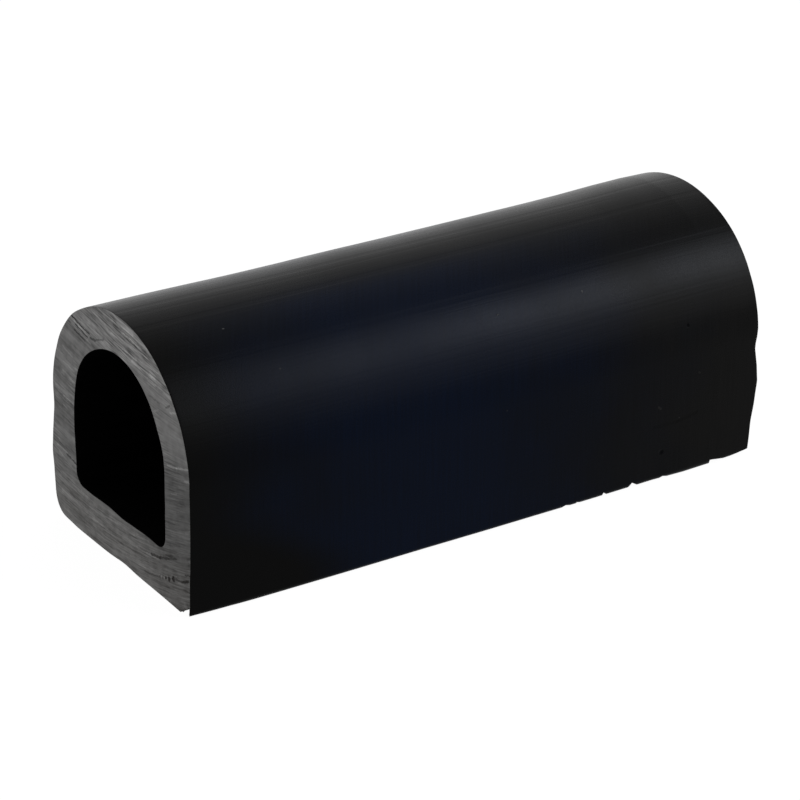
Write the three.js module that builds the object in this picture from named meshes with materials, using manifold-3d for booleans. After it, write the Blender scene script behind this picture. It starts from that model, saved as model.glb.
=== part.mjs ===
// A cut length of hollow D-section rubber fender: flat base, upright flanks, half-round crown and a D-shaped
// bore right through. It is one extruded piece. Millimetres, +Z up; X runs along the length, the base lies on
// Z = 0, and the origin is the middle of the base at mid-length.
import * as THREE from "three";
import { mergeVertices } from "three/addons/utils/BufferGeometryUtils.js";
import Module from "manifold-3d";

// The section, seen along the length: Y across, Z up.
const profileWidth = 100;
const flankHeight = 50; // base to where the crown springs
const crownRise = 50;
const roundCornerRadius = 9.5; // base corner on the +Y side
const tightCornerRadius = 2.5; // base corner on the -Y side

const flankWall = 17;
const baseWall = 19.5;
const crownWall = 16;
const boreCornerRadius = 5.5;
const boreShift = 0.5; // the bore runs this much off centre, towards +Y

// The length: stock that was coiled keeps a slight bend, and both ends are hand cut, a little off square.
const length = 250; // between the two cuts, at mid-width and mid-height
const bow = 1.8; // how far the ends bend towards +Y
const nearCut = { x: -length / 2, skewDeg: 1.9, leanDeg: 1.0 };
const farCut = { x: length / 2, skewDeg: 4.1, leanDeg: 0.7 };

// Nicks in the tight base corner. Each is a V; deepest says where across its width the V bottoms out.
const nickTiltDeg = 33; // the Vs point up and in, this far from straight up
const nickSkewDeg = 33; // and run in at this angle to the section's plane
const nicks = [
  { fromFarCut: 13.3, width: 7.2, depth: 0.92, deepest: 0.12 },
  { fromFarCut: 40, width: 4, depth: 0.4, deepest: 0.55 },
  { fromFarCut: 54.6, width: 5, depth: 1.4, deepest: 0.57 },
  { fromFarCut: 68.1, width: 2.4, depth: 1.03, deepest: 0.46 },
  { fromFarCut: 80.6, width: 3.5, depth: 0.48, deepest: 0.44 },
  { fromFarCut: 86.5, width: 6, depth: 0.64, deepest: 0.59 },
];

// Smoothness of the faceted shape.
const facetDeg = 6;
const bowSteps = 8;

const profileHeight = flankHeight + crownRise;
const radians = THREE.MathUtils.degToRad;

// Points along an elliptical arc, ends included.
function arcPoints(centreY, centreZ, radiusY, radiusZ, fromDeg, toDeg) {
  const count = Math.ceil(Math.abs(toDeg - fromDeg) / facetDeg);
  return Array.from({ length: count + 1 }, (_, i) => {
    const angle = radians(fromDeg + ((toDeg - fromDeg) * i) / count);
    return new THREE.Vector2(centreY + radiusY * Math.cos(angle), centreZ + radiusZ * Math.sin(angle));
  });
}

// A D on its flat: two rounded base corners, upright flanks, and a half-ellipse from the spring line up.
function dOutline({ middle, halfWidth, floor, rise, plusRadius, minusRadius }) {
  const plusY = middle + halfWidth - plusRadius;
  const minusY = middle - halfWidth + minusRadius;
  return [
    ...arcPoints(plusY, floor + plusRadius, plusRadius, plusRadius, -90, 0),
    ...arcPoints(middle, flankHeight, halfWidth, rise, 0, 180),
    ...arcPoints(minusY, floor + minusRadius, minusRadius, minusRadius, 180, 270),
  ];
}

function sectionShape() {
  const section = new THREE.Shape(
    dOutline({
      middle: 0,
      halfWidth: profileWidth / 2,
      floor: 0,
      rise: crownRise,
      plusRadius: roundCornerRadius,
      minusRadius: tightCornerRadius,
    }),
  );
  const bore = dOutline({
    middle: boreShift,
    halfWidth: profileWidth / 2 - flankWall,
    floor: baseWall,
    rise: crownRise - crownWall,
    plusRadius: boreCornerRadius,
    minusRadius: boreCornerRadius,
  });
  section.holes.push(new THREE.Path(bore));
  return section;
}

// Where a cut plane meets the line along X through a point of the section.
function cutX(cut, y, z) {
  return cut.x - y * Math.tan(radians(cut.skewDeg)) + (z - profileHeight / 2) * Math.tan(radians(cut.leanDeg));
}

function bowAt(x) {
  return bow * (x / (length / 2)) ** 2;
}

// The section swept from one cut plane to the other along the bent centreline.
function profileGeometry() {
  const geometry = new THREE.ExtrudeGeometry(sectionShape(), { depth: 1, steps: bowSteps, bevelEnabled: false });
  const position = geometry.getAttribute("position");
  for (let i = 0; i < position.count; i++) {
    const y = position.getX(i);
    const z = position.getY(i);
    const share = position.getZ(i);
    const x = THREE.MathUtils.lerp(cutX(nearCut, y, z), cutX(farCut, y, z), share);
    const bend = bowAt(THREE.MathUtils.lerp(nearCut.x, farCut.x, share));
    position.setXYZ(i, x, y + bend, z);
  }
  return geometry;
}

// A V-shaped cutter across the tight base corner, reaching right through it.
function nickGeometry({ fromFarCut, width, depth, deepest }) {
  const overshoot = tightCornerRadius; // past the surface, so that the whole corner is cut
  const vee = new THREE.Shape([
    new THREE.Vector2(-width * deepest, overshoot),
    new THREE.Vector2(-width * deepest, 0),
    new THREE.Vector2(0, -depth),
    new THREE.Vector2(width * (1 - deepest), 0),
    new THREE.Vector2(width * (1 - deepest), overshoot),
  ]);
  const reach = 6 * (tightCornerRadius + depth);
  const geometry = new THREE.ExtrudeGeometry(vee, { depth: reach, steps: 1, bevelEnabled: false });
  geometry.translate(0, 0, -reach / 2);

  const along = new THREE.Vector3(1, 0, 0);
  const tilt = radians(nickTiltDeg);
  const outward = new THREE.Vector3(0, -Math.sin(tilt), -Math.cos(tilt));
  const across = new THREE.Vector3().crossVectors(along, outward);
  across.addScaledVector(along, Math.tan(radians(nickSkewDeg)));
  const x = farCut.x - fromFarCut + width * (deepest - 0.5);
  const surface = new THREE.Vector3(x, tightCornerRadius - profileWidth / 2 + bowAt(x), tightCornerRadius);
  surface.addScaledVector(outward, tightCornerRadius);
  return geometry.applyMatrix4(new THREE.Matrix4().makeBasis(along, outward, across).setPosition(surface));
}

const wasm = await Module();
wasm.setup();

function toSolid(geometry) {
  geometry.deleteAttribute("normal");
  geometry.deleteAttribute("uv");
  const merged = mergeVertices(geometry, 1e-4);
  return new wasm.Manifold(
    new wasm.Mesh({
      numProp: 3,
      vertProperties: merged.getAttribute("position").array,
      triVerts: new Uint32Array(merged.index.array),
    }),
  );
}

function toGeometry(solid) {
  const mesh = solid.getMesh();
  const geometry = new THREE.BufferGeometry();
  geometry.setAttribute("position", new THREE.BufferAttribute(new Float32Array(mesh.vertProperties), 3));
  geometry.setIndex(new THREE.BufferAttribute(new Uint32Array(mesh.triVerts), 1));
  const faceted = geometry.toNonIndexed();
  faceted.computeVertexNormals();
  return faceted;
}

function fenderProfile() {
  let solid = toSolid(profileGeometry());
  for (const nick of nicks) {
    solid = solid.subtract(toSolid(nickGeometry(nick)));
  }
  const rubber = new THREE.MeshStandardMaterial({ color: 0x191a1d, roughness: 0.5, metalness: 0 });
  const mesh = new THREE.Mesh(toGeometry(solid), rubber);
  mesh.name = "fender_profile";
  return mesh;
}

const fender = new THREE.Group();
fender.add(fenderProfile());

export default fender;
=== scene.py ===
import bpy
import numpy as np
from mathutils import Matrix, Vector


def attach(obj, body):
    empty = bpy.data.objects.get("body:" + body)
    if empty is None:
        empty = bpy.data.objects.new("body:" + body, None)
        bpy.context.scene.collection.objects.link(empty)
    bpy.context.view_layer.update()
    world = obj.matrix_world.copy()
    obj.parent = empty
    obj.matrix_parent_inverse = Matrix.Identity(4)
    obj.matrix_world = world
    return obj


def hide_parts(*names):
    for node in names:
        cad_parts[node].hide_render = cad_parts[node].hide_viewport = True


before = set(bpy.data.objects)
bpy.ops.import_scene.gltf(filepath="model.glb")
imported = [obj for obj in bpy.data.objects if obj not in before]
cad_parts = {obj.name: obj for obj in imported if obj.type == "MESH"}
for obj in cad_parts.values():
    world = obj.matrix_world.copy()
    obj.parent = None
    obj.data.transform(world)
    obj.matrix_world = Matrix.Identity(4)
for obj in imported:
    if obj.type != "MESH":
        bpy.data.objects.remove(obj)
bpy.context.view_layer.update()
metre = 1000.0  # millimetres in one
print("frame loaded")


# Helpers for shader trees

# One shader node. Inputs are values or sockets to link; the rest are the node's own settings.
def addNode(tree, kind, inputs=None, **settings):
    made = tree.nodes.new("ShaderNode" + kind)
    made.location = (180 * (len(tree.nodes) % 14), -220 * (len(tree.nodes) // 14))
    for key, value in settings.items():
        setattr(made, key, value)
    for key, value in (inputs or {}).items():
        if isinstance(value, bpy.types.NodeSocket):
            tree.links.new(value, made.inputs[key])
        else:
            made.inputs[key].default_value = value
    return made


# One sum on two or three values, each a number or a socket.
def calc(tree, operation, first, second=0.0, third=0.0):
    return addNode(tree, "Math", {0: first, 1: second, 2: third}, operation=operation).outputs[0]


# Smooth step of a value between low and high.
def ramp(tree, value, low, high, toLow=0.0, toHigh=1.0):
    inputs = {"Value": value, "From Min": low, "From Max": high, "To Min": toLow, "To Max": toHigh}
    return addNode(tree, "MapRange", inputs, interpolation_type="SMOOTHSTEP").outputs["Result"]


# A vector times a factor.
def scaled(tree, vector, factor):
    return addNode(tree, "VectorMath", {0: vector, "Scale": factor}, operation="SCALE").outputs[0]


# A vector of three values.
def joined(tree, x, y, z):
    return addNode(tree, "CombineXYZ", {0: x, 1: y, 2: z}).outputs[0]


# Plain noise: outputs Fac and Color.
def noiseAt(tree, point, scale, detail):
    return addNode(tree, "TexNoise", {"Vector": point, "Scale": scale, "Detail": detail}).outputs


# Colour mixed from first to second by share.
def blend(tree, share, first, second):
    made = addNode(tree, "Mix", {0: share, 6: first, 7: second}, data_type="RGBA")
    return made.outputs[2]


# A grey of this level, its red raised and its blue lowered by the share in warmth.
def grey(level, warmth=0.0):
    return (level * (1 + warmth), level, level * (1 - warmth), 1.0)


# A node group with named sockets; returns the group, its input node and its output node.
def startGroup(name, inputs, outputs):
    group = bpy.data.node_groups.new(name, "ShaderNodeTree")
    for socketName, value in inputs.items():
        kind = "NodeSocketVector" if isinstance(value, tuple) else "NodeSocketFloat"
        socket = group.interface.new_socket(socketName, in_out="INPUT", socket_type=kind)
        socket.default_value = value
    for socketName in outputs:
        group.interface.new_socket(socketName, in_out="OUTPUT", socket_type="NodeSocketFloat")
    return group, group.nodes.new("NodeGroupInput"), group.nodes.new("NodeGroupOutput")


# One of the shared effects below, placed in a tree.
def placeGroup(tree, group, inputs):
    return addNode(tree, "Group", inputs, node_tree=group)


# Shared effects, each a node group

# A straight mark from Start to End: 1 on the line, falling to 0 at half a Width from it.
def makeStroke():
    group, source, target = startGroup(
        "stroke", {"Point": (0, 0, 0), "Start": (0, 0, 0), "End": (1, 0, 0), "Width": 1.0}, ["Mask"])
    point, start, end, width = (source.outputs[k] for k in ("Point", "Start", "End", "Width"))
    along = addNode(group, "VectorMath", {0: end, 1: start}, operation="SUBTRACT").outputs[0]
    away = addNode(group, "VectorMath", {0: point, 1: start}, operation="SUBTRACT").outputs[0]
    dotted = addNode(group, "VectorMath", {0: away, 1: along}, operation="DOT_PRODUCT").outputs["Value"]
    squared = addNode(group, "VectorMath", {0: along, 1: along}, operation="DOT_PRODUCT").outputs["Value"]
    share = addNode(group, "Clamp", {"Value": calc(group, "DIVIDE", dotted, squared)}).outputs[0]
    foot = scaled(group, along, share)
    distance = addNode(group, "VectorMath", {0: away, 1: foot}, operation="DISTANCE").outputs["Value"]
    half = calc(group, "MULTIPLY", width, 0.5)
    mask = ramp(group, calc(group, "DIVIDE", distance, half), 0.35, 1.0, 1.0, 0.0)
    group.links.new(mask, target.inputs["Mask"])
    return group


# Noise drawn out along the first axis of Point: Length and Thickness are its grain in millimetres.
def makeStretchedGrain():
    group, source, target = startGroup(
        "stretchedGrain",
        {"Point": (0, 0, 0), "Length": 40.0, "Thickness": 1.0, "Detail": 2.0, "Seed": 0.0}, ["Value"])
    parts = addNode(group, "SeparateXYZ", {0: source.outputs["Point"]}).outputs
    x = calc(group, "DIVIDE", parts[0], source.outputs["Length"])
    y = calc(group, "DIVIDE", parts[1], source.outputs["Thickness"])
    z = calc(group, "DIVIDE", parts[2], source.outputs["Thickness"])
    x = calc(group, "ADD", x, source.outputs["Seed"])
    noise = noiseAt(group, joined(group, x, y, z), 1.0, source.outputs["Detail"])["Fac"]
    group.links.new(noise, target.inputs["Value"])
    return group


# Small scattered specks: 1 in the middle of a share of the cells of a Size grid, 0 elsewhere.
def makeSpecks():
    group, source, target = startGroup(
        "specks", {"Point": (0, 0, 0), "Size": 6.0, "Radius": 0.12, "Share": 0.3}, ["Mask"])
    place = scaled(group, source.outputs["Point"], calc(group, "DIVIDE", 1.0, source.outputs["Size"]))
    cells = addNode(group, "TexVoronoi", {"Vector": place, "Scale": 1.0})
    picked = addNode(group, "SeparateColor", {0: cells.outputs["Color"]}).outputs
    chosen = calc(group, "LESS_THAN", picked[0], source.outputs["Share"])
    radius = calc(group, "MULTIPLY", source.outputs["Radius"], ramp(group, picked[1], 0.0, 1.0, 0.4, 1.0))
    near = ramp(group, calc(group, "DIVIDE", cells.outputs["Distance"], radius), 0.5, 1.0, 1.0, 0.0)
    group.links.new(calc(group, "MULTIPLY", near, chosen), target.inputs["Mask"])
    return group


stroke = makeStroke()
stretchedGrain = makeStretchedGrain()
specks = makeSpecks()


# An empty material with its shader, its output and the object coordinates in millimetres.
def startMaterial(name):
    material = bpy.data.materials.new(name)
    material.use_nodes = True
    tree = material.node_tree
    tree.nodes.clear()
    place = addNode(tree, "TexCoord").outputs["Object"]
    point = scaled(tree, place, metre)
    shader = addNode(tree, "BsdfPrincipled")
    output = addNode(tree, "OutputMaterial")
    tree.links.new(shader.outputs[0], output.inputs["Surface"])
    return material, tree, point, shader


# Gives a shader its values and links. One that is the same all over stays a plain value.
def setShader(tree, shader, **sockets):
    names = {"baseColor": "Base Color", "roughness": "Roughness", "metallic": "Metallic",
             "specularLevel": "Specular IOR Level", "normal": "Normal"}
    for key, value in sockets.items():
        target = shader.inputs[names[key]]
        if isinstance(value, bpy.types.NodeSocket):
            tree.links.new(value, target)
        else:
            target.default_value = value


# The fender

fender = {
    "width": 100.0, "flankHeight": 50.0, "crownRise": 50.0, "roundCorner": 9.5, "tightCorner": 2.5,
    "flankWall": 17.0, "baseWall": 19.5, "crownWall": 16.0, "boreCorner": 5.5, "boreShift": 0.5,
    "length": 250.0, "bow": 1.8,
    "nearSkew": 1.9, "nearLean": 1.0, "farSkew": 4.1, "farLean": 0.7,
    "edgeRound": 0.06, "edgeFade": 0.3,  # how far the sawn edges are broken, and how soon that ends
    "nicks": [  # from the far cut, along X; deepest is the share of the width where the V bottoms out
        {"fromFarCut": 13.3, "width": 7.2, "depth": 0.92, "deepest": 0.12},
        {"fromFarCut": 40.0, "width": 4.0, "depth": 0.4, "deepest": 0.55},
        {"fromFarCut": 54.6, "width": 5.0, "depth": 1.4, "deepest": 0.57},
        {"fromFarCut": 68.1, "width": 2.4, "depth": 1.03, "deepest": 0.46},
        {"fromFarCut": 80.6, "width": 3.5, "depth": 0.48, "deepest": 0.44},
        {"fromFarCut": 86.5, "width": 6.0, "depth": 0.64, "deepest": 0.59},
    ],
    "nickTilt": 33,  # degrees from straight up that the Vs lean inwards
    "nickSkew": 33,  # degrees from the section's plane at which they run in
    "nickRoughness": 0.1,  # how uneven their sides are
    # The tight corner is worn off towards the far cut: how deep, at these places along X
    "wornCorner": [(115, 0.0), (119, 0.05), (122, 0.25), (125, 0.5), (130, 0.9)],
    "nearToe": 0.7, "toeHeight": 25,  # how far the near cut stands out at the -Y flank's foot, up to where
    # At the near cut the tight corner is torn out behind its skin: a round hollow that leaves a thin lip
    # and rises as it goes in. The three soft widths say how gently it starts.
    "tornCorner": {"middle": (-43.4, 6.4), "radius": 6.1, "lip": 0.45, "reach": 4.0, "rise": 3.8, "fade": 5.0,
                   "softRound": 0.4, "softSide": 1.5, "softLip": 0.2},
    # Swells and hollows of the section at the near end: where they are (y, z), their reach round the outline,
    # how far out they push, and how far along the length they fade.
    "swells": [
        {"at": (50, 26), "reach": 9, "out": 1.6, "fade": 60},
        {"at": (50, 46), "reach": 7, "out": -0.8, "fade": 60},
        {"at": (44, 80), "reach": 12, "out": 0.6, "fade": 60},
        {"at": (33, 88), "reach": 7, "out": 0.45, "fade": 50},
        {"at": (50, 8), "reach": 5, "out": -0.3, "fade": 60},
        {"at": (41, 0), "reach": 5, "out": -0.7, "fade": 40},
        {"at": (-2, 0), "reach": 7, "out": -0.7, "fade": 40},
    ],
    "boreSwells": [
        {"at": (33, 26), "reach": 7, "out": 0.6, "fade": 50},
        {"at": (26, 72), "reach": 8, "out": -0.6, "fade": 50},
        {"at": (-29, 66), "reach": 8, "out": 0.8, "fade": 50},
        {"at": (-2, 19.5), "reach": 5, "out": -0.4, "fade": 50},
        {"at": (-19, 19.5), "reach": 6, "out": 0.4, "fade": 50},
        {"at": (33, 56), "reach": 5, "out": 0.5, "fade": 50},
    ],
    # How far the tight corner and the crown stand out, at these places along X
    "footLine": [(-125, 0.15), (-100, 0.15), (-80, 0.0), (-50, -0.2), (-25, -0.35), (5, -0.3), (25, -0.3),
                 (50, -0.2), (68, -0.2), (80, -0.2), (95, 0.3), (112, 0.2)],
    "crownLine": [(-125, -0.15), (-80, 0.02), (-45, 0.0), (-20, 0.25), (5, 0.35), (30, 0.2), (60, 0.3),
                  (80, 0.35), (98, 0.65), (112, 0.7), (125, 0.2)],
    # How far round the section the foot's line is felt, from what height the crown's line is, up to what
    # height the waves of the outline grow, and how fast all relief of the outline fades into the wall
    "footReach": 12, "crownFrom": 60, "flatFoot": 6, "wallFade": 4,
    # How far the far cut stands out along X on the -Y flank, at these heights
    "farWaves": [(2, -1.5), (8, -1.0), (14, -0.7), (22, 0.5), (31, 1.3), (38, 0.6), (46, -0.9), (54, 0.2),
                 (62, 0.0)],
    # Slight unevenness: how deep, its length along X, its length round the section, and its seed
    "outlineWaves": [(0.12, 34, 30, 5), (0.01, 7, 11, 6)],
    "boreWaves": (0.2, 30, 18, 8),
    # Waves of the saw: how deep, their height, their width, and their seed; they tilt with the strokes
    "farSaw": (0.15, 5, 30, 12), "nearSaw": (0.12, 5, 30, 14), "sawTilt": 0.1,
    "cutFade": 5,  # how far in from a cut its waves die away
}


# Moulded skin

skinLook = {
    "black": (0.0003, 0.0003, 0.0003),
    "paintedReflectionBlack": (0.0026, 0.0025, 0.0024),  # painted reflection: paler towards the far cut, low down, standing for the brighter floor seen in the flank
    "blueBlack": (0.0001, 0.0018, 0.0074),
    # Where the blue is full and where it ends, out from its middle; its edge wanders by this much
    "blueMiddle": -24, "blueCore": 5, "blueReach": 140, "blueWander": 110,
    "blueTop": (96.5, 100.6),  # it ends between these heights
    "neutralEnd": (-124, -88),  # the blue starts between these two places along X
    "neutralFoot": 42, "footHeights": (38, 4),  # and this much further along at the foot of the flank
    "paintedReflectionStart": (25, 150), "paintedReflectionWander": 30, "paintedReflectionTop": (75, 97),  # the same for the painted reflection
    "cloudScale": 0.022, "fineScale": 1.6,
    "roughness": 0.29, "roughnessSpread": 0.04, "roughnessClouds": 0.2,
    "specularLevel": 0.057,
    # Fine lines along the length and round the section, and how deep they are
    "drawGrain": {"Length": 120.0, "Thickness": 0.9, "Seed": 3.0}, "drawLines": 0.03,
    "roundGrain": {"Length": 30.0, "Thickness": 0.8, "Seed": 7.0}, "roundLines": 0.0015,
    "roundSlant": -0.636,  # how far those lean along X for each step in y
    # The caught streaks are a painted highlight: on the crown the round lines are painted paler where they
    # catch the light
    "roundTone": (0.86, 1.14), "paintedGlintShare": 0.04, "paintedGlintGrey": 0.014, "paintedGlintHeights": (80, 100),
    "dust": {"Size": 9.0, "Radius": 0.05, "Share": 0.22}, "dustShare": 0.5, "dustGrey": 0.03,
    "fineDepth": 0.010, "fleckRise": 0.08, "pinholeDepth": 0.1,
    # Shallow draw marks right along the crown: degrees up from the -Y flank, width, depth
    "drawMarks": [(108, 1.3, 0.018), (101, 1.0, 0.012), (92, 1.5, 0.03), (86.5, 1.0, 0.015), (76, 1.7, 0.03),
                  (52, 1.5, 0.02), (31, 0.8, 0.008), (27, 0.7, 0.008)],
    "flecks": [  # small marks, placed before the skin is bent; grey below 0 dulls the gloss by that share
        {"from": (94.5, -48.4, 62.8), "to": (94.6, -48.4, 62.5), "width": 1.8, "grey": -0.7},
        {"from": (82.8, -50, 12.4), "to": (83.0, -50, 12.4), "width": 2.8, "grey": -0.9},
        {"from": (78.5, -50, 24.0), "to": (90.0, -50, 23.8), "width": 2.2, "grey": -0.2},
        {"from": (90.0, -50, 23.8), "to": (99.5, -50, 25.2), "width": 2.2, "grey": -0.26},
        {"from": (99.7, -50, 42.2), "to": (100.2, -50, 42.0), "width": 1.0, "grey": 0.005},
        {"from": (80.6, -50, 32.2), "to": (81.6, -50, 31.3), "width": 1.3, "grey": 0.007},
        {"from": (-93.2, -21, 95.4), "to": (-92.8, -21, 95.4), "width": 0.7, "grey": 0.035},
        {"from": (51.2, -37.7, 82.7), "to": (51.4, -37.3, 83.3), "width": 0.8, "grey": 0.05},
        {"from": (12.5, -38, 82.8), "to": (13.0, -38, 82.8), "width": 0.7, "grey": 0.03},
        {"from": (110.8, -43, 75.0), "to": (111.5, -43, 75.0), "width": 0.8, "grey": 0.03},
    ],
}


# Near-black rubber. Its black drifts to blue in the middle of the length, and low down it pales a little
# towards +X as a painted reflection of the floor;
# fine lines run along the length, weaker ones round the section, with a few specks and pinholes.
def makeSkin():
    look = skinLook
    material, tree, point, shader = startMaterial("mouldedSkin")
    parts = addNode(tree, "SeparateXYZ", {0: point}).outputs
    cloud = noiseAt(tree, point, look["cloudScale"], 3.0)["Fac"]
    clouds = calc(tree, "SUBTRACT", cloud, 0.5)
    offset = calc(tree, "ABSOLUTE", calc(tree, "SUBTRACT", parts[0], look["blueMiddle"]))
    offset = calc(tree, "MULTIPLY_ADD", clouds, look["blueWander"], offset)
    blue = calc(tree, "MULTIPLY", ramp(tree, offset, look["blueCore"], look["blueReach"], 1.0, 0.0),
                ramp(tree, parts[2], *look["blueTop"], 1.0, 0.0))
    foot = ramp(tree, parts[2], *look["footHeights"], 0.0, look["neutralFoot"])
    neutral = ramp(tree, calc(tree, "SUBTRACT", parts[0], foot), *look["neutralEnd"])
    blue = calc(tree, "MULTIPLY", blue, neutral)
    # Painted reflection: low down the black pales towards the far cut, where the flank mirrors the brighter
    # floor beyond its end
    pale = ramp(tree, calc(tree, "MULTIPLY_ADD", cloud, look["paintedReflectionWander"], parts[0]), *look["paintedReflectionStart"])
    pale = calc(tree, "MULTIPLY", pale, ramp(tree, parts[2], *look["paintedReflectionTop"], 1.0, 0.0))
    lines = placeGroup(tree, stretchedGrain, {"Point": point, **look["drawGrain"]}).outputs[0]
    slant = calc(tree, "MULTIPLY_ADD", parts[1], look["roundSlant"], parts[0])
    turned = joined(tree, calc(tree, "ADD", parts[1], parts[2]), slant, 0.0)
    rounds = placeGroup(tree, stretchedGrain, {"Point": turned, **look["roundGrain"]}).outputs[0]
    fine = noiseAt(tree, point, look["fineScale"], 2.0)["Fac"]

    color = blend(tree, pale, (*look["black"], 1), (*look["paintedReflectionBlack"], 1))
    color = blend(tree, blue, color, (*look["blueBlack"], 1))
    streaks = ramp(tree, rounds, 0.3, 0.7, *look["roundTone"])
    color = scaled(tree, color, streaks)
    # Painted highlight: on the crown the rounds show as the palest of streaks, where they catch the light
    onCrown = ramp(tree, parts[2], *look["paintedGlintHeights"], 0.0, look["paintedGlintShare"])
    paintedGlint = calc(tree, "MULTIPLY", ramp(tree, rounds, 0.4, 0.7), onCrown)
    color = blend(tree, paintedGlint, color, grey(look["paintedGlintGrey"]))
    dust = placeGroup(tree, specks, {"Point": point, **look["dust"]}).outputs[0]
    color = blend(tree, calc(tree, "MULTIPLY", dust, look["dustShare"]), color, grey(look["dustGrey"]))

    height = calc(tree, "MULTIPLY", lines, look["drawLines"])
    # The draw marks follow the bend, so y loses it first
    share = calc(tree, "DIVIDE", parts[0], fender["length"] / 2)
    unbent = calc(tree, "MULTIPLY_ADD", calc(tree, "MULTIPLY", share, share), -fender["bow"], parts[1])
    straight = joined(tree, parts[0], unbent, parts[2])
    beyond = fender["length"] / 2 + 5
    for angle, width, deep in look["drawMarks"]:
        across = -fender["width"] / 2 * np.cos(np.radians(angle))
        up = fender["flankHeight"] + fender["crownRise"] * np.sin(np.radians(angle))
        mark = placeGroup(tree, stroke, {"Point": straight, "Start": (-beyond, across, up),
                                         "End": (beyond, across, up), "Width": 2 * width}).outputs[0]
        height = calc(tree, "MULTIPLY_ADD", mark, -deep, height)
    height = calc(tree, "MULTIPLY_ADD", rounds, look["roundLines"], height)
    height = calc(tree, "MULTIPLY_ADD", fine, look["fineDepth"], height)
    dull = 0.0  # metallic over black leaves no gloss, as in a pinhole
    for fleck in look["flecks"]:
        mark = placeGroup(tree, stroke, {"Point": straight, "Start": fleck["from"], "End": fleck["to"],
                                         "Width": fleck["width"]}).outputs[0]
        if fleck["grey"] > 0:
            color = blend(tree, mark, color, grey(fleck["grey"]))
            height = calc(tree, "MULTIPLY_ADD", mark, look["fleckRise"], height)
        else:
            dull = calc(tree, "MULTIPLY_ADD", mark, -fleck["grey"], dull)
            height = calc(tree, "MULTIPLY_ADD", mark, look["pinholeDepth"] * fleck["grey"], height)
    bump = addNode(tree, "Bump", {"Height": height, "Strength": 1.0, "Distance": 1 / metre})
    spread = look["roughnessSpread"]
    roughness = ramp(tree, fine, 0.2, 0.8, look["roughness"] - spread, look["roughness"] + spread)
    roughness = calc(tree, "MULTIPLY_ADD", clouds, look["roughnessClouds"], roughness)
    setShader(tree, shader, baseColor=color, roughness=roughness, metallic=dull,
              specularLevel=look["specularLevel"], normal=bump.outputs[0])
    return material


# Saw-cut ends

cutLook = {
    "grey": 0.138,
    "warmth": 0.01,
    "roughness": 0.8,
    "specularLevel": 0.2,
    "crownSlope": -0.13,  # the strokes fall this much towards -Y on the crown
    "baseSlope": 0.10,  # and rise this much low down
    "baseCurve": 0.0045,
    "slopeHeights": (45, 92),  # from one slope to the other between these heights
    # Grain along the strokes: its length, thickness, detail and seed; what it does to the tone; its relief
    "bands": (60.0, 4.0, 2.0, 0.0), "bandTone": 1.3, "bandRelief": 0.25,
    "strokes": (13.0, 0.75, 2.0, 4.0), "strokeTone": 3.0, "strokeRelief": 0.18,
    "fibres": (5.0, 0.3, 1.0, 9.0), "fibreTone": 1.8, "fibreRelief": 0.03,
    "patchScale": 0.05, "patchStrength": (0.18, 0.62), "baseStrength": 0.6,
    "mottleScale": 0.28, "mottleTone": 0.9,
    # The side and height tones are painted shade and light: the -Y flank darker low down, the crown paler
    "crownTone": 0.08, "paintedShadeSideTone": 0.62, "paintedLightHeightTone": (1.08, 0.92), "middleTone": 0.92, "cornerTone": 1.12,
    "dirt": (0.16, 0.12, 0.08, 1), "dirtShare": 0.04, "dirtHeights": (8, 30),
    "markSpread": 1.35,  # the separate marks are drawn this much wider, for their soft edges
    "markWobble": 1.2, "wobbleScale": 0.9, "darkest": 0.03,
    "reliefStrength": 0.8, "roughnessSpread": 0.08,
}

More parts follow.
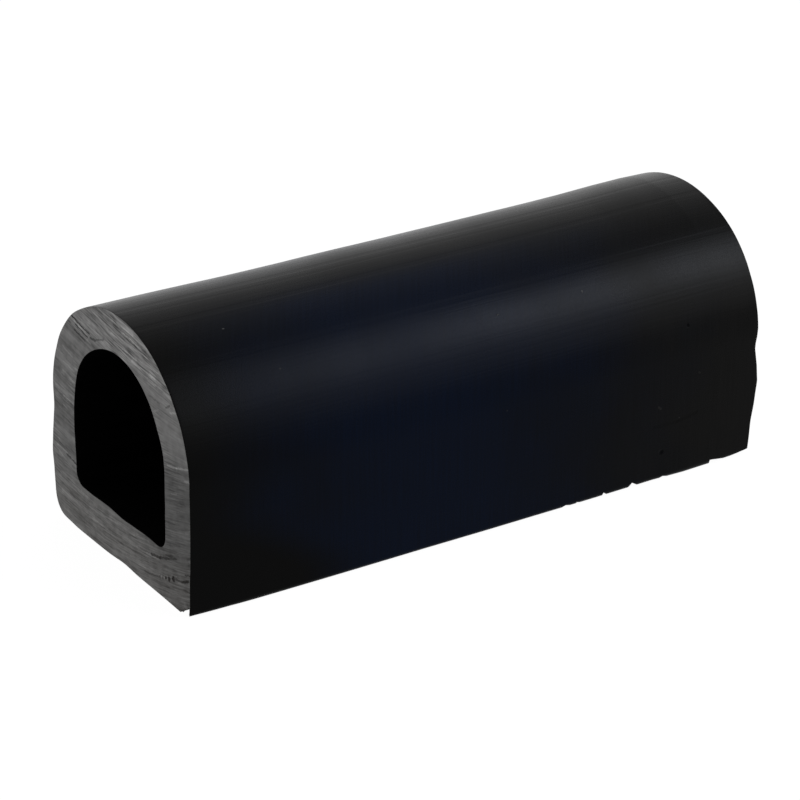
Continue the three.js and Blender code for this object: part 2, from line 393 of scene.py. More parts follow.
# Marks on the near end: from (y, z), to (y, z), width, what they do to the tone, and how deep they go.
nearMarks = [
    ((36.5, 87.6), (28.0, 85.7), 0.8, -0.85, 0.25), ((28.5, 85.7), (22.0, 84.8), 0.7, -0.75, 0.20),
    ((33.5, 85.9), (23.5, 83.7), 0.6, 0.55, -0.05), ((32.5, 84.8), (23.5, 82.9), 0.6, -0.75, 0.20),
    ((35.5, 84.0), (21.5, 81.3), 0.7, 0.55, -0.05), ((33.5, 82.4), (25.5, 80.9), 0.6, -0.65, 0.15),
    ((21.5, 83.4), (17.5, 83.9), 0.9, -0.65, 0.20), ((17.0, 84.4), (11.5, 86.6), 0.8, -0.45, 0.15),
    ((24.5, 89.6), (16.5, 87.8), 0.6, 0.25, -0.05), ((29.5, 89.3), (24.0, 87.9), 0.5, -0.25, 0.10),
    ((20.0, 95.2), (8.5, 92.0), 1.1, 0.28, -0.05), ((6.0, 91.4), (-6.0, 90.3), 0.8, 0.30, -0.05),
    ((5.0, 96.7), (-10.0, 96.1), 0.8, 0.35, -0.05), ((4.0, 95.4), (-7.0, 94.5), 0.6, -0.35, 0.15),
    ((0.0, 94.7), (-16.0, 92.9), 0.7, 0.40, -0.05), ((-3.0, 93.4), (-12.5, 92.7), 0.6, -0.30, 0.12),
    ((-5.0, 92.3), (-20.0, 91.2), 0.8, 0.30, -0.05), ((-13.0, 94.4), (-21.0, 92.6), 0.6, -0.25, 0.10),
    ((3.0, 88.9), (-12.0, 87.7), 0.8, 0.35, -0.05), ((0.5, 88.0), (-9.0, 87.0), 0.5, -0.30, 0.12),
    ((-9.0, 85.9), (-25.0, 85.3), 1.1, 0.45, -0.05), ((-12.0, 87.9), (-28.0, 88.6), 0.8, 0.35, -0.05),
    ((-14.0, 84.5), (-27.0, 83.5), 0.6, -0.25, 0.10), ((-18.0, 83.4), (-36.0, 81.6), 0.8, 0.35, -0.05),
    ((-21.0, 77.4), (-28.0, 77.1), 0.7, -0.30, 0.10), ((-32.5, 77.0), (-35.5, 79.0), 0.7, -0.45, 0.20),
    ((-35.5, 76.3), (-39.0, 77.6), 0.9, 0.40, -0.05), ((-24.0, 72.5), (-27.0, 74.0), 0.8, 0.30, -0.05),
    ((43.0, 72.4), (35.5, 70.4), 0.8, 0.35, -0.05), ((44.5, 69.9), (42.5, 69.3), 0.7, -0.35, 0.10),
    ((42.5, 66.3), (34.0, 65.3), 0.6, 0.30, -0.05), ((40.0, 68.2), (33.5, 67.0), 0.6, -0.20, 0.08),
    ((43.0, 62.4), (34.5, 60.6), 1.2, 0.45, -0.05), ((44.0, 60.4), (35.5, 59.4), 0.7, -0.25, 0.10),
    ((49.5, 54.2), (42.5, 52.0), 0.9, 0.40, -0.05), ((43.0, 52.1), (34.5, 50.9), 0.8, 0.45, -0.05),
    ((42.5, 50.9), (34.5, 50.0), 0.6, -0.35, 0.12), ((43.5, 48.2), (40.0, 47.3), 0.6, 0.25, -0.05),
    ((48.0, 32.2), (43.5, 30.7), 0.8, 0.35, -0.05), ((49.5, 29.4), (42.0, 29.0), 0.9, 0.30, -0.05),
    ((42.0, 28.2), (39.5, 27.7), 0.9, -0.65, 0.30), ((39.0, 27.9), (37.5, 27.4), 0.8, -0.60, 0.25),
    ((37.0, 27.3), (34.5, 26.9), 0.9, -0.70, 0.25), ((48.0, 27.0), (39.0, 24.8), 0.9, 0.30, -0.05),
    ((46.5, 18.4), (30.5, 17.0), 2.2, 0.34, -0.05), ((31.0, 17.2), (20.0, 15.6), 1.4, 0.28, -0.05),
    ((46.0, 11.4), (22.0, 10.6), 1.8, 0.36, -0.05), ((26.0, 8.8), (9.0, 9.8), 1.1, 0.32, -0.05),
    ((40.0, 13.2), (20.0, 12.6), 0.9, -0.25, 0.05), ((12.0, 14.0), (-4.0, 13.6), 0.9, -0.20, 0.05),
    ((46.0, 14.6), (26.0, 13.9), 1.6, -0.22, 0.05), ((38.0, 6.4), (22.0, 5.6), 1.6, -0.20, 0.05),
    ((10.0, 16.0), (-8.0, 16.4), 1.3, 0.20, -0.05), ((-2.0, 5.2), (-16.0, 6.6), 1.2, 0.25, -0.05),
    ((20.0, 6.4), (4.0, 7.4), 0.8, -0.20, 0.06), ((8.0, 11.2), (-12.0, 12.4), 1.4, 0.22, -0.05),
    ((-11.0, 12.5), (-21.0, 13.9), 0.7, -0.45, 0.15), ((-21.0, 14.1), (-27.0, 15.3), 1.1, -0.75, 0.3),
    ((-27.0, 15.5), (-33.0, 17.6), 1.1, -0.75, 0.3), ((-33.0, 17.6), (-38.5, 19.9), 0.8, -0.55, 0.25),
    ((-31.0, 18.2), (-36.0, 20.0), 0.7, -0.45, 0.20), ((-14.0, 12.3), (-26.0, 14.2), 0.9, 0.25, -0.05),
    ((-15.0, 4.9), (-21.0, 5.8), 0.6, -0.40, 0.15), ((-21.0, 6.0), (-26.5, 7.3), 0.6, -0.40, 0.15),
    ((-26.5, 8.1), (-30.0, 8.6), 0.8, 0.45, -0.05), ((-26.9, 7.4), (-27.0, 8.2), 0.8, -0.60, 0.30),
    ((-29.0, 7.9), (-29.1, 8.8), 0.9, -0.60, 0.30), ((-31.1, 8.9), (-31.2, 9.3), 1.2, -0.95, 0.45),
    ((-33.5, 9.4), (-33.7, 9.9), 1.5, -1.15, 0.60), ((-36.5, 10.9), (-36.7, 11.4), 1.8, -1.30, 0.70),
    ((-38.3, 11.9), (-43.0, 12.7), 0.8, -0.65, 0.20), ((-43.2, 13.0), (-47.4, 14.9), 1.1, -0.95, 0.30),
    ((-40.0, 11.2), (-44.5, 12.0), 0.8, 0.30, -0.05), ((-44.0, 10.0), (-48.0, 10.8), 0.7, -0.35, 0.15),
    ((-35.5, 11.8), (-39.0, 12.9), 0.8, 0.40, -0.05), ((-45.0, 16.4), (-48.3, 17.7), 0.7, -0.65, 0.20),
    ((-33.0, 55.0), (-39.5, 56.1), 0.9, 0.70, -0.05), ((-39.0, 56.4), (-47.2, 58.9), 0.8, 0.80, -0.05),
    ((-45.0, 53.4), (-47.2, 54.2), 1.1, 0.50, -0.05), ((-36.0, 44.7), (-39.0, 46.0), 0.8, 0.45, -0.05),
    ((-31.0, 32.0), (-37.5, 33.4), 0.8, -0.35, 0.10), ((-45.5, 33.4), (-48.8, 35.8), 1.6, 0.35, -0.05),
    ((-46.0, 23.0), (-48.8, 24.6), 0.6, -0.40, 0.15), ((-34.0, 23.6), (-41.0, 26.0), 0.8, -0.20, 0.06),
    ((-10.0, 17.3), (-19.0, 18.4), 0.7, 0.25, -0.05), ((-2.0, 9.2), (-14.0, 10.0), 0.7, -0.18, 0.06),
]


# Turns a point of a cut face into (along the strokes, across them): across = z - slope*s - curve*s*s/2,
# with s measured towards -Y, and slope going from the crown's to the base's between two heights.
def makeSawStrokes():
    group, source, target = startGroup(
        "sawStrokes", {"Point": (0, 0, 0), "Crown Slope": -0.13, "Base Slope": 0.1, "Base Curve": 0.0045},
        ["Along", "Across"])
    parts = addNode(group, "SeparateXYZ", {0: source.outputs["Point"]}).outputs
    along = calc(group, "MULTIPLY", parts[1], -1.0)
    low = ramp(group, parts[2], *cutLook["slopeHeights"], 1.0, 0.0)
    gap = calc(group, "SUBTRACT", source.outputs["Base Slope"], source.outputs["Crown Slope"])
    slope = calc(group, "MULTIPLY_ADD", gap, low, source.outputs["Crown Slope"])
    curve = calc(group, "MULTIPLY", calc(group, "MULTIPLY", source.outputs["Base Curve"], 0.5), low)
    lift = calc(group, "MULTIPLY", calc(group, "MULTIPLY_ADD", curve, along, slope), along)
    group.links.new(along, target.inputs["Along"])
    group.links.new(calc(group, "SUBTRACT", parts[2], lift), target.inputs["Across"])
    return group


sawStrokes = makeSawStrokes()


# Matt grey sawn rubber: broad bands, fine strokes and fibres along the saw's path, then the separate marks.
def makeCut(name, seed, marks):
    look = cutLook
    material, tree, point, shader = startMaterial(name)
    path = placeGroup(tree, sawStrokes, {"Point": point, "Crown Slope": look["crownSlope"],
                                         "Base Slope": look["baseSlope"], "Base Curve": look["baseCurve"]})
    stretched = joined(tree, path.outputs["Along"], path.outputs["Across"], seed)

    def grain(length, thickness, detail, shift):
        made = placeGroup(tree, stretchedGrain, {"Point": stretched, "Length": length, "Thickness": thickness,
                                                 "Detail": detail, "Seed": seed + shift})
        return calc(tree, "SUBTRACT", made.outputs[0], 0.5)

    bands, strokes, fibres = (grain(*look[k]) for k in ("bands", "strokes", "fibres"))
    parts = addNode(tree, "SeparateXYZ", {0: point}).outputs
    # The strokes stand out on the crown, in patches elsewhere
    patch = noiseAt(tree, point, look["patchScale"], 1.0)["Fac"]
    crown = calc(tree, "MULTIPLY", ramp(tree, parts[2], 76.0, 86.0),
                 ramp(tree, parts[1], 25.0, 5.0, 0.6, 1.0))
    strong = calc(tree, "MAXIMUM", crown, ramp(tree, patch, 0.44, 0.62, *look["patchStrength"]))
    strong = calc(tree, "MAXIMUM", strong, ramp(tree, parts[2], 22.0, 15.0, 0.0, look["baseStrength"]))
    mottle = noiseAt(tree, point, look["mottleScale"], 4.0)["Fac"]
    strongStrokes = calc(tree, "MULTIPLY", strokes, strong)

    tone = calc(tree, "MULTIPLY_ADD", bands, look["bandTone"], 1.0)
    tone = calc(tree, "MULTIPLY_ADD", strongStrokes, look["strokeTone"], tone)
    tone = calc(tree, "MULTIPLY_ADD", calc(tree, "MULTIPLY", fibres, strong), look["fibreTone"], tone)
    tone = calc(tree, "MULTIPLY_ADD", calc(tree, "SUBTRACT", mottle, 0.5), look["mottleTone"], tone)
    tone = calc(tree, "MULTIPLY", tone, calc(tree, "MULTIPLY_ADD", crown, look["crownTone"], 1.0))
    # Painted light and shade: paler on the crown, darker down the -Y flank, as if lit from the upper left
    side = ramp(tree, parts[1], -50.0, 30.0, 1.0, 0.0)
    lowness = ramp(tree, parts[2], 30.0, 85.0, 1.0, 0.0)
    paintedShadeArea = calc(tree, "MULTIPLY", side, lowness)
    tone = calc(tree, "MULTIPLY", tone, ramp(tree, paintedShadeArea, 0.0, 1.0, 1.0, look["paintedShadeSideTone"]))
    tone = calc(tree, "MULTIPLY", tone, ramp(tree, lowness, 0.0, 1.0, *look["paintedLightHeightTone"]))
    # The two flanks a little darker at mid-height, the base a little paler towards -Y
    middle = calc(tree, "MULTIPLY", ramp(tree, parts[2], 30.0, 45.0),
                  ramp(tree, parts[2], 60.0, 72.0, 1.0, 0.0))
    tone = calc(tree, "MULTIPLY", tone, ramp(tree, middle, 0.0, 1.0, 1.0, look["middleTone"]))
    corner = calc(tree, "MULTIPLY", ramp(tree, parts[2], 24.0, 14.0), ramp(tree, parts[1], 10.0, -20.0))
    tone = calc(tree, "MULTIPLY", tone, ramp(tree, corner, 0.0, 1.0, 1.0, look["cornerTone"]))
    height = calc(tree, "MULTIPLY", bands, look["bandRelief"])
    height = calc(tree, "MULTIPLY_ADD", strongStrokes, look["strokeRelief"], height)
    height = calc(tree, "MULTIPLY_ADD", fibres, look["fibreRelief"], height)

    # The separate marks, each with a slightly wandering edge
    flat = joined(tree, 0.0, parts[1], parts[2])
    wobble = noiseAt(tree, flat, look["wobbleScale"], 2.0)["Color"]
    wobble = addNode(tree, "VectorMath", {0: wobble, 1: (0.5, 0.5, 0.5)}, operation="SUBTRACT").outputs[0]
    reach = (0.0, look["markWobble"], look["markWobble"])
    wobble = addNode(tree, "VectorMath", {0: wobble, 1: reach}, operation="MULTIPLY").outputs[0]
    flat = addNode(tree, "VectorMath", {0: flat, 1: wobble}, operation="ADD").outputs[0]
    for start, end, width, change, deep in marks:
        mask = placeGroup(tree, stroke, {"Point": flat, "Start": (0, *start), "End": (0, *end),
                                         "Width": width * look["markSpread"]}).outputs[0]
        kept = calc(tree, "MAXIMUM", calc(tree, "MULTIPLY_ADD", mask, change, 1.0), look["darkest"])
        tone = calc(tree, "MULTIPLY", tone, kept)
        height = calc(tree, "MULTIPLY_ADD", mask, -deep, height)

    dirt = ramp(tree, parts[2], *look["dirtHeights"], look["dirtShare"], 0.0)
    color = scaled(tree, grey(look["grey"], look["warmth"])[:3], tone)
    color = blend(tree, dirt, color, look["dirt"])
    bump = addNode(tree, "Bump", {"Height": height, "Strength": look["reliefStrength"],
                                  "Distance": 1 / metre})
    spread = look["roughnessSpread"]
    roughness = ramp(tree, bands, -0.3, 0.3, look["roughness"] + spread, look["roughness"] - spread)
    setShader(tree, shader, baseColor=color, roughness=roughness, specularLevel=look["specularLevel"],
              normal=bump.outputs[0])
    return material


# Inside wall

boreLook = {
    "greys": (0.0001, 0.0006), "roughness": (0.55, 0.7), "specularLevel": 0.02,
    "grain": {"Length": 150.0, "Thickness": 1.6, "Seed": 11.0}, "relief": 0.06, "reliefStrength": 0.6,
}


# Dull black with faint lengthwise lines.
def makeBore():
    look = boreLook
    material, tree, point, shader = startMaterial("boreWall")
    lines = placeGroup(tree, stretchedGrain, {"Point": point, **look["grain"]}).outputs[0]
    darker, paler = look["greys"]
    color = blend(tree, lines, grey(darker), grey(paler))
    bump = addNode(tree, "Bump", {"Height": lines, "Strength": look["reliefStrength"],
                                  "Distance": look["relief"] / metre})
    roughness = ramp(tree, lines, 0.2, 0.8, *look["roughness"])
    setShader(tree, shader, baseColor=color, roughness=roughness, specularLevel=look["specularLevel"],
              normal=bump.outputs[0])
    return material


materials = [makeSkin(), makeCut("nearCut", 0.0, nearMarks), makeCut("farCut", 31.0, []), makeBore()]
skinSlot, nearSlot, farSlot, boreSlot = range(4)
print("materials made")


# Its mesh

# How finely the fender is divided. Steps along the skin, in millimetres, and how fast they widen from a cut
# inwards; the numbers of steps through the wall and along the bore, with the shares close to their ends.
divisions = {
    "widest": 1.6, "atNicks": 0.28, "nickMargin": 1.2, "atCuts": 0.1, "widening": 0.15,
    "pastFarCut": 3, "samples": 6000,
    "wall": 18, "wallEdge": [0, 0.018, 0.05, 0.1], "wallMiddle": (0.16, 0.84),
    "bore": 42, "boreEdge": [0, 0.0015, 0.006], "boreMiddle": (0.02, 0.98), "boreFarEdge": [0.994, 0.9985, 1],
    "roundCorner": 10, "plusFlank": 18, "crown": 84, "minusFlank": 28, "tightCorner": 9, "base": 38,
}


# Points on an arc: y = centreY + radiusY*cos(turn), z = centreZ + radiusZ*sin(turn), the last one left out.
def arcRow(centreY, centreZ, radiusY, radiusZ, fromDeg, toDeg, count):
    turn = np.radians(fromDeg + (toDeg - fromDeg) * np.arange(count) / count)
    return np.stack([centreY + radiusY * np.cos(turn), centreZ + radiusZ * np.sin(turn)], -1)


# Points on a line, packed towards one end by a power of their share, the last one left out.
def lineRow(start, end, count, power=1.0, dense="start"):
    share = np.arange(count) / count
    share = share ** power if dense == "start" else 1 - (1 - share) ** power
    return np.array(start) + (np.array(end) - np.array(start)) * share[:, None]


# A D on its flat, walked from the +Y base corner up over the crown and back along the base.
# Every outline has the same number of points in each stretch, so an outer and a bore outline match.
def dOutline(middle, halfWidth, floor, rise, plusRadius, minusRadius):
    spring, packing, d = fender["flankHeight"], 1.5, divisions
    plus, minus = middle + halfWidth, middle - halfWidth
    return np.concatenate([
        arcRow(plus - plusRadius, floor + plusRadius, plusRadius, plusRadius, -90, 0, d["roundCorner"]),
        lineRow((plus, floor + plusRadius), (plus, spring), d["plusFlank"]),
        arcRow(middle, spring, halfWidth, rise, 0, 180, d["crown"]),
        lineRow((minus, spring), (minus, floor + minusRadius), d["minusFlank"], packing, "end"),
        arcRow(minus + minusRadius, floor + minusRadius, minusRadius, minusRadius, 180, 270,
               d["tightCorner"]),
        lineRow((minus + minusRadius, floor), (plus - plusRadius, floor), d["base"], packing, "start"),
    ])


# Unit normals of a closed outline that is walked anticlockwise.
def outwardOf(outline):
    tangent = np.roll(outline, -1, 0) - np.roll(outline, 1, 0)
    normal = np.stack([tangent[:, 1], -tangent[:, 0]], -1)
    return normal / np.linalg.norm(normal, axis=1, keepdims=True)


# A line given as (place, value) pairs, read at x.
def lineAt(x, pairs):
    places, values = np.array(pairs, float).T
    return np.interp(x, places, values)


# Depth of the nicks in the tight corner at each x: straight flanks down to each V's bottom.
def nickDepth(x):
    depth = np.zeros_like(x)
    for nick in fender["nicks"]:
        start = fender["length"] / 2 - nick["fromFarCut"] - nick["width"] / 2
        bottom = start + nick["width"] * nick["deepest"]
        depth += np.interp(x, [start, bottom, start + nick["width"]], [0, nick["depth"], 0], left=0, right=0)
    return depth + lineAt(x, fender["wornCorner"])


# Smooth noise from -1 to 1: random values on whole numbers of u and v, eased between them.
def latticeNoise(u, v, seed):
    period = 64
    table = np.random.default_rng(seed).uniform(-1, 1, (period, period))
    iu, iv = np.floor(u).astype(int), np.floor(v).astype(int)
    fu, fv = u - iu, v - iv
    fu, fv = fu * fu * (3 - 2 * fu), fv * fv * (3 - 2 * fv)
    corner = lambda a, b: table[(iu + a) % period, (iv + b) % period]
    return (corner(0, 0) * (1 - fu) + corner(1, 0) * fu) * (1 - fv) + (
        corner(0, 1) * (1 - fu) + corner(1, 1) * fu) * fv


# Shares of the length from cut to cut, close together beside the cuts and over the nicks.
def columnShares():
    d = divisions
    start, end = -fender["length"] / 2, fender["length"] / 2 + d["pastFarCut"]
    x = np.linspace(start, end, d["samples"])
    gap = np.full_like(x, d["widest"])
    for nick in fender["nicks"]:
        middle = fender["length"] / 2 - nick["fromFarCut"]
        gap = np.where(np.abs(x - middle) < nick["width"] / 2 + d["nickMargin"], d["atNicks"], gap)
    gap = np.minimum(gap, d["atCuts"] + d["widening"] * np.minimum(x - start, end - x))
    travelled = np.concatenate([[0], np.cumsum(np.diff(x) / gap[:-1])])
    count = int(travelled[-1])
    inner = np.interp(np.linspace(0, travelled[-1], count), travelled, x)
    return (inner - inner[0]) / (inner[-1] - inner[0])


# Unevenness of an outline: smooth noise along X and round the section.
def outlineWave(x, around, wave):
    deep, length, width, seed = wave
    return deep * latticeNoise(x / length, around / width, seed)


# Waves of a cut: smooth noise up and across it, tilted with the strokes.
def sawWave(y, z, wave):
    deep, height, width, seed = wave
    return deep * latticeNoise((z + fender["sawTilt"] * y) / height, y / width, seed)


# Where a cut plane lies: x = middle - y*tan(skew) + (z - half the height)*tan(lean).
def cutPlane(y, z, middle, skew, lean):
    halfHeight = (fender["flankHeight"] + fender["crownRise"]) / 2
    return middle - y * np.tan(np.radians(skew)) + (z - halfHeight) * np.tan(np.radians(lean))


# The swells' push, each out*exp(-(distance from it / reach)^2 - (distance from the near cut / fade)^2).
def swellPush(swells, outline, fromNear):
    push = 0
    for swell in swells:
        away = np.linalg.norm(outline - np.array(swell["at"]), axis=1)[:, None] / swell["reach"]
        push = push + swell["out"] * np.exp(-away ** 2 - (fromNear / swell["fade"]) ** 2)
    return push


# Whatever stands further out than a nick's V, measured along the tilt, is pressed back to it.
def pressNicks(x, y, z, around, depth):
    s = fender
    half, radius, tilt = s["width"] / 2, s["tightCorner"], np.radians(s["nickTilt"])
    outerShare = 0.4  # of the wall's thickness: only this much of a cut face follows the nicks
    stand = -(y + half - radius) * np.sin(tilt) - (z - radius) * np.cos(tilt) - radius
    runIn = (y + half - radius) * np.cos(tilt) - (z - radius) * np.sin(tilt)
    deep = nickDepth(x - runIn * np.tan(np.radians(s["nickSkew"])))
    limit = -deep - s["nickRoughness"] * np.clip(deep, 0, 1) * latticeNoise(x / 0.9, around / 1.2, 21)
    over = np.where((deep > 0) & (depth < outerShare) & (y < 0), np.maximum(stand - limit, 0), 0)
    return y + over * np.sin(tilt), z + over * np.cos(tilt)


# Outside a quarter circle and behind the lip, the near cut is pushed in along X, and up.
def tearCorner(x, y, z, fromNear):
    torn = fender["tornCorner"]
    middleY, middleZ = torn["middle"]
    away = np.hypot(np.minimum(y - middleY, 0), np.minimum(z - middleZ, 0))
    outside = np.clip((away - torn["radius"]) / torn["softRound"], 0, 1)
    outside = outside * np.clip((middleY - y) / torn["softSide"], 0, 1)
    behind = np.clip((y + fender["width"] / 2 - torn["lip"]) / torn["softLip"], 0, 1)
    fading = behind * np.exp(-np.maximum(fromNear, 0) / torn["fade"])
    return x + torn["reach"] * outside * fading, z + torn["rise"] * np.sqrt(outside) * fading


# The whole piece as one closed sheet. Rows walk round the section; columns go along the outside, in over
# the far cut, back through the bore and out over the near cut. A point is the section point
# q = outer + depth*(bore - outer), set at the share of the way from one cut plane to the other:
# x = lerp(near plane, far plane, share), y = q.y + bow*(2*share - 1)^2, z = q.z.
def fenderGrid():
    s, d = fender, divisions
    half, height = s["width"] / 2, s["flankHeight"] + s["crownRise"]
    outer = dOutline(0, half, 0, s["crownRise"], s["roundCorner"], s["tightCorner"])
    bore = dOutline(s["boreShift"], half - s["flankWall"], s["baseWall"],
                    s["crownRise"] - s["crownWall"], s["boreCorner"], s["boreCorner"])
    skinShares = columnShares()
    boreShares = np.concatenate([d["boreEdge"], np.linspace(*d["boreMiddle"], d["bore"]), d["boreFarEdge"]])
    edge = np.array(d["wallEdge"])
    wall = np.concatenate([edge, np.linspace(*d["wallMiddle"], d["wall"]), 1 - edge[::-1]])
    share = np.concatenate([skinShares, np.ones(len(wall) - 2), boreShares[::-1], np.zeros(len(wall) - 2)])
    depth = np.concatenate([np.zeros(len(skinShares)), wall[1:-1], np.ones(len(boreShares)), wall[-2:0:-1]])
    slot = np.concatenate([np.full(len(skinShares) - 1, skinSlot), np.full(len(wall) - 1, farSlot),
                           np.full(len(boreShares) - 1, boreSlot), np.full(len(wall) - 1, nearSlot)])
    share, depth = share[None, :], depth[None, :]

    q = outer[:, None] + depth[..., None] * (bore - outer)[:, None]
    y, z = q[..., 0], q[..., 1]
    nearX = cutPlane(y, z, -s["length"] / 2, s["nearSkew"], s["nearLean"])
    farX = cutPlane(y, z, s["length"] / 2, s["farSkew"], s["farLean"])
    x = nearX + share * (farX - nearX)
    fromNear = x - nearX

    # Relief of the outline: along its own normal, fading into the wall. The base stays flat.
    around = np.concatenate([[0], np.cumsum(np.linalg.norm(np.diff(outer, axis=0), axis=1))])[:, None]
    waves = sum(outlineWave(x, around, wave) for wave in s["outlineWaves"])
    fromFoot = np.linalg.norm(outer - np.array([-half, 2]), axis=1)[:, None]
    footShare = np.exp(-(fromFoot / s["footReach"]) ** 2)
    crownShare = np.clip((z - s["crownFrom"]) / (height - s["crownFrom"]), 0, 1)
    outerPush = waves * np.clip(z / s["flatFoot"], 0, 1)
    outerPush = outerPush + lineAt(x, s["footLine"]) * footShare + lineAt(x, s["crownLine"]) * crownShare
    outerPush = outerPush + swellPush(s["swells"], outer, fromNear)
    borePush = outlineWave(x, around, s["boreWaves"]) - swellPush(s["boreSwells"], bore, fromNear)
    broken = s["edgeRound"] * (np.exp(-fromNear / s["edgeFade"]) + np.exp(-(farX - x) / s["edgeFade"]))
    outerShare, boreShare = (1 - depth[..., None]) ** s["wallFade"], depth[..., None] ** s["wallFade"]
    push = (outerPush - broken)[..., None] * outwardOf(outer)[:, None] * outerShare
    push = push + (borePush + broken)[..., None] * outwardOf(bore)[:, None] * boreShare
    y = y + push[..., 0]
    z = np.maximum(z + push[..., 1], 0)

    # Relief of the cuts: waves of the saw, the far cut's own outline on the -Y flank, and the near cut's toe
    minusSide = np.clip(-y / half, 0, 1) ** 3
    wave = lineAt(z, s["farWaves"]) * minusSide + sawWave(y, z, s["farSaw"])
    x = x + wave * np.exp(-(farX - x) / s["cutFade"])
    toe = s["nearToe"] * np.clip(1 - z / s["toeHeight"], 0, 1) * minusSide
    x = x + (sawWave(y, z, s["nearSaw"]) - toe) * np.exp(-fromNear / s["cutFade"])

    y, z = pressNicks(x, y, z, around, depth)
    x, z = tearCorner(x, y, z, fromNear)
    y = y + s["bow"] * (2 * share - 1) ** 2
    return np.stack([x, y, z], -1) / metre, slot


# A sheet that closes on itself in both directions, made of quads that face outwards.
def meshFromGrid(name, points, slot):
    rows, columns = points.shape[:2]
    row, column = np.meshgrid(np.arange(rows), np.arange(columns), indexing="ij")
    index = lambda r, c: (r % rows) * columns + c % columns
    quads = np.stack([index(row, column), index(row + 1, column), index(row + 1, column + 1),
                      index(row, column + 1)], -1).reshape(-1, 4)
    mesh = bpy.data.meshes.new(name)
    mesh.vertices.add(rows * columns)
    mesh.vertices.foreach_set("co", points.astype(np.float32).ravel())
    mesh.loops.add(quads.size)
    mesh.loops.foreach_set("vertex_index", quads.astype(np.int32).ravel())
    mesh.polygons.add(len(quads))
    mesh.polygons.foreach_set("loop_start", np.arange(0, quads.size, 4, dtype=np.int32))
    mesh.polygons.foreach_set("material_index", np.tile(slot, rows).astype(np.int32))
    mesh.polygons.foreach_set("use_smooth", np.ones(len(quads), bool))
    mesh.update(calc_edges=True)
    mesh.validate()
    made = bpy.data.objects.new(name, mesh)
    bpy.context.scene.collection.objects.link(made)
    return made


points, slot = fenderGrid()
piece = meshFromGrid("dressed_fender", points, slot)
for material in materials:
    piece.data.materials.append(material)
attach(piece, "root")
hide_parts("fender_profile")
print("fender made:", len(piece.data.polygons) * 2, "triangles")


# Floor, light and camera

studio = {
    "floorSize": 14.0, "floorGrey": 0.05,
    "floorGlow": {"seen": 0.97, "front": 0.6, "back": 1.0, "turn": (0.05, 0.4)},  # turn in metres along y
    # Spread: the cosines, off the direction toward, at which each glow starts and is full
    "sky": {"low": 0.78, "high": 1.2, "toward": (0.48, 0.68, 0.55), "spread": (0.6, 1.0)},
    "lowGlow": {"strength": 1.3, "toward": (0.648, -0.670, 0.362), "spread": (0.9135, 0.99)},
    "boxToward": (0.6, -0.5, 0.625), "boxAlong": (0.868, 0.305, -0.391),
    "softboxes": [  # one inside the other, so that the band of light has soft edges
        {"distance": 3.0, "width": 1.0, "height": 0.75, "power": 5.8},
        {"distance": 3.1, "width": 1.3, "height": 1.3, "power": 11.0},
        {"distance": 3.2, "width": 1.7, "height": 2.2, "power": 17.0},
    ],
    "softboxTint": (0.94, 0.985, 1.08),
}

shot = {
    "azimuth": -32.448, "elevation": 25.648, "roll": 0.264,
    "aim": (3.357, 14.255, 28.985), "distance": 1190.01,
    "lens": 137.994, "sensor": 36.0,
}


# A pale floor that the camera sees nearly white; in reflections it is dimmer in front and brighter behind.
def makeFloor():
    half = studio["floorSize"] / 2
    mesh = bpy.data.meshes.new("floor")
    corners = [(-half, -half, 0), (half, -half, 0), (half, half, 0), (-half, half, 0)]
    mesh.from_pydata(corners, [], [(0, 1, 2, 3)])
    floor = bpy.data.objects.new("floor", mesh)
    bpy.context.scene.collection.objects.link(floor)
    material = bpy.data.materials.new("paleFloor")
    material.use_nodes = True
    tree = material.node_tree
    shader = tree.nodes["Principled BSDF"]
    setShader(tree, shader, baseColor=grey(studio["floorGrey"]), roughness=0.9, specularLevel=0.0)
    glow = studio["floorGlow"]
    across = addNode(tree, "SeparateXYZ", {0: addNode(tree, "TexCoord").outputs["Object"]}).outputs[1]
    unseen = ramp(tree, across, *glow["turn"], glow["front"], glow["back"])
    seen = addNode(tree, "LightPath").outputs["Is Camera Ray"]
    strength = addNode(tree, "Mix", {0: seen, 2: unseen, 3: glow["seen"]}).outputs[0]
    shader.inputs["Emission Color"].default_value = grey(1.0)
    tree.links.new(strength, shader.inputs["Emission Strength"])
    mesh.materials.append(material)


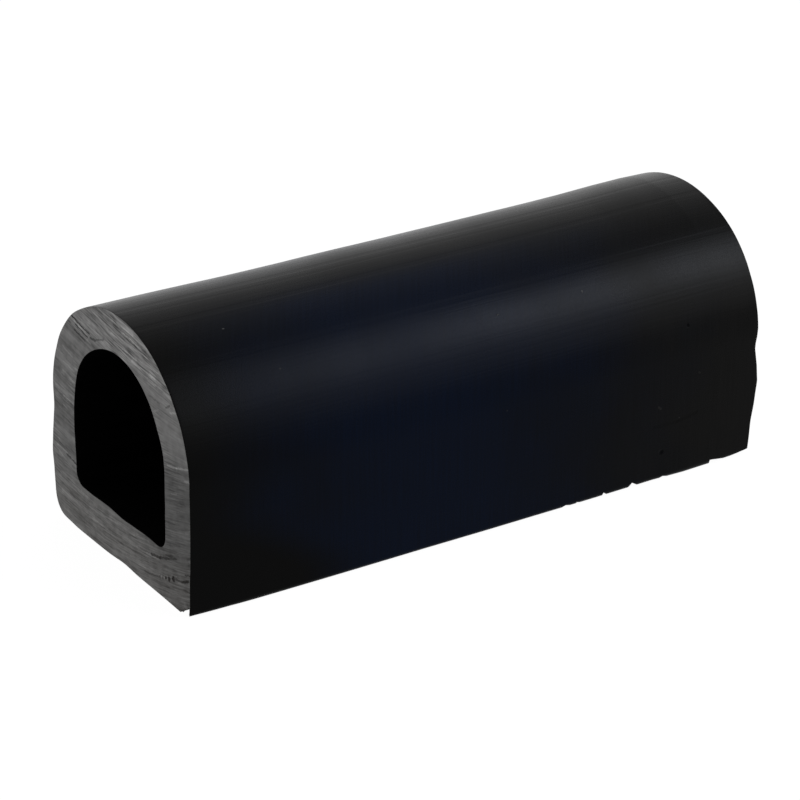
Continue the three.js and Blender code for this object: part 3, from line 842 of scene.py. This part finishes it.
# A pale surround that brightens towards one side of the sky, and the softboxes that draw the crown's band.
def makeLight():
    world = bpy.data.worlds.new("surround")
    bpy.context.scene.world = world
    world.use_nodes = True
    tree = world.node_tree
    ray = addNode(tree, "TexCoord").outputs["Generated"]

    def facing(toward):
        direction = Vector(toward).normalized()
        return addNode(tree, "VectorMath", {0: ray, 1: direction}, operation="DOT_PRODUCT").outputs["Value"]

    sky, low = studio["sky"], studio["lowGlow"]
    strength = ramp(tree, facing(sky["toward"]), *sky["spread"], sky["low"], sky["high"])
    glow = ramp(tree, facing(low["toward"]), *low["spread"], 0.0, low["strength"])
    backdrop = tree.nodes["Background"]
    backdrop.inputs["Color"].default_value = grey(1.0)
    tree.links.new(calc(tree, "ADD", strength, glow), backdrop.inputs["Strength"])

    for box in studio["softboxes"]:
        light = bpy.data.lights.new("softbox", "AREA")
        light.shape = "RECTANGLE"
        light.size, light.size_y = box["width"], box["height"]
        light.energy = box["power"]
        light.color = studio["softboxTint"]
        lamp = bpy.data.objects.new("softbox", light)
        out = Vector(studio["boxToward"]).normalized()
        long = Vector(studio["boxAlong"])
        long = (long - out * long.dot(out)).normalized()
        turn = Matrix((long, out.cross(long), out)).transposed().to_4x4()
        lamp.matrix_world = Matrix.Translation(out * box["distance"]) @ turn
        bpy.context.scene.collection.objects.link(lamp)


# The camera looks along its azimuth and elevation at the aim, from the distance, with a slight roll.
def makeCamera():
    azimuth, elevation, roll = (np.radians(shot[k]) for k in ("azimuth", "elevation", "roll"))
    right = np.array([np.cos(azimuth), np.sin(azimuth), 0])
    level = np.array([np.sin(azimuth), -np.cos(azimuth), 0])
    back = level * np.cos(elevation) + np.array([0, 0, np.sin(elevation)])
    up = np.cross(back, right)
    rolledRight = right * np.cos(roll) + up * np.sin(roll)
    rolledUp = up * np.cos(roll) - right * np.sin(roll)
    place = (np.array(shot["aim"]) + back * shot["distance"]) / metre
    camera = bpy.data.cameras.new("camera")
    camera.lens, camera.sensor_width, camera.sensor_fit = shot["lens"], shot["sensor"], "HORIZONTAL"
    camera.dof.use_dof = False
    holder = bpy.data.objects.new("camera", camera)
    turn = Matrix(np.stack([rolledRight, rolledUp, back], -1).tolist()).to_4x4()
    holder.matrix_world = Matrix.Translation(place.tolist()) @ turn
    bpy.context.scene.collection.objects.link(holder)
    bpy.context.scene.camera = holder


makeFloor()
makeLight()
makeCamera()
bpy.context.scene.view_settings.view_transform = "Standard"
print("studio and camera made")
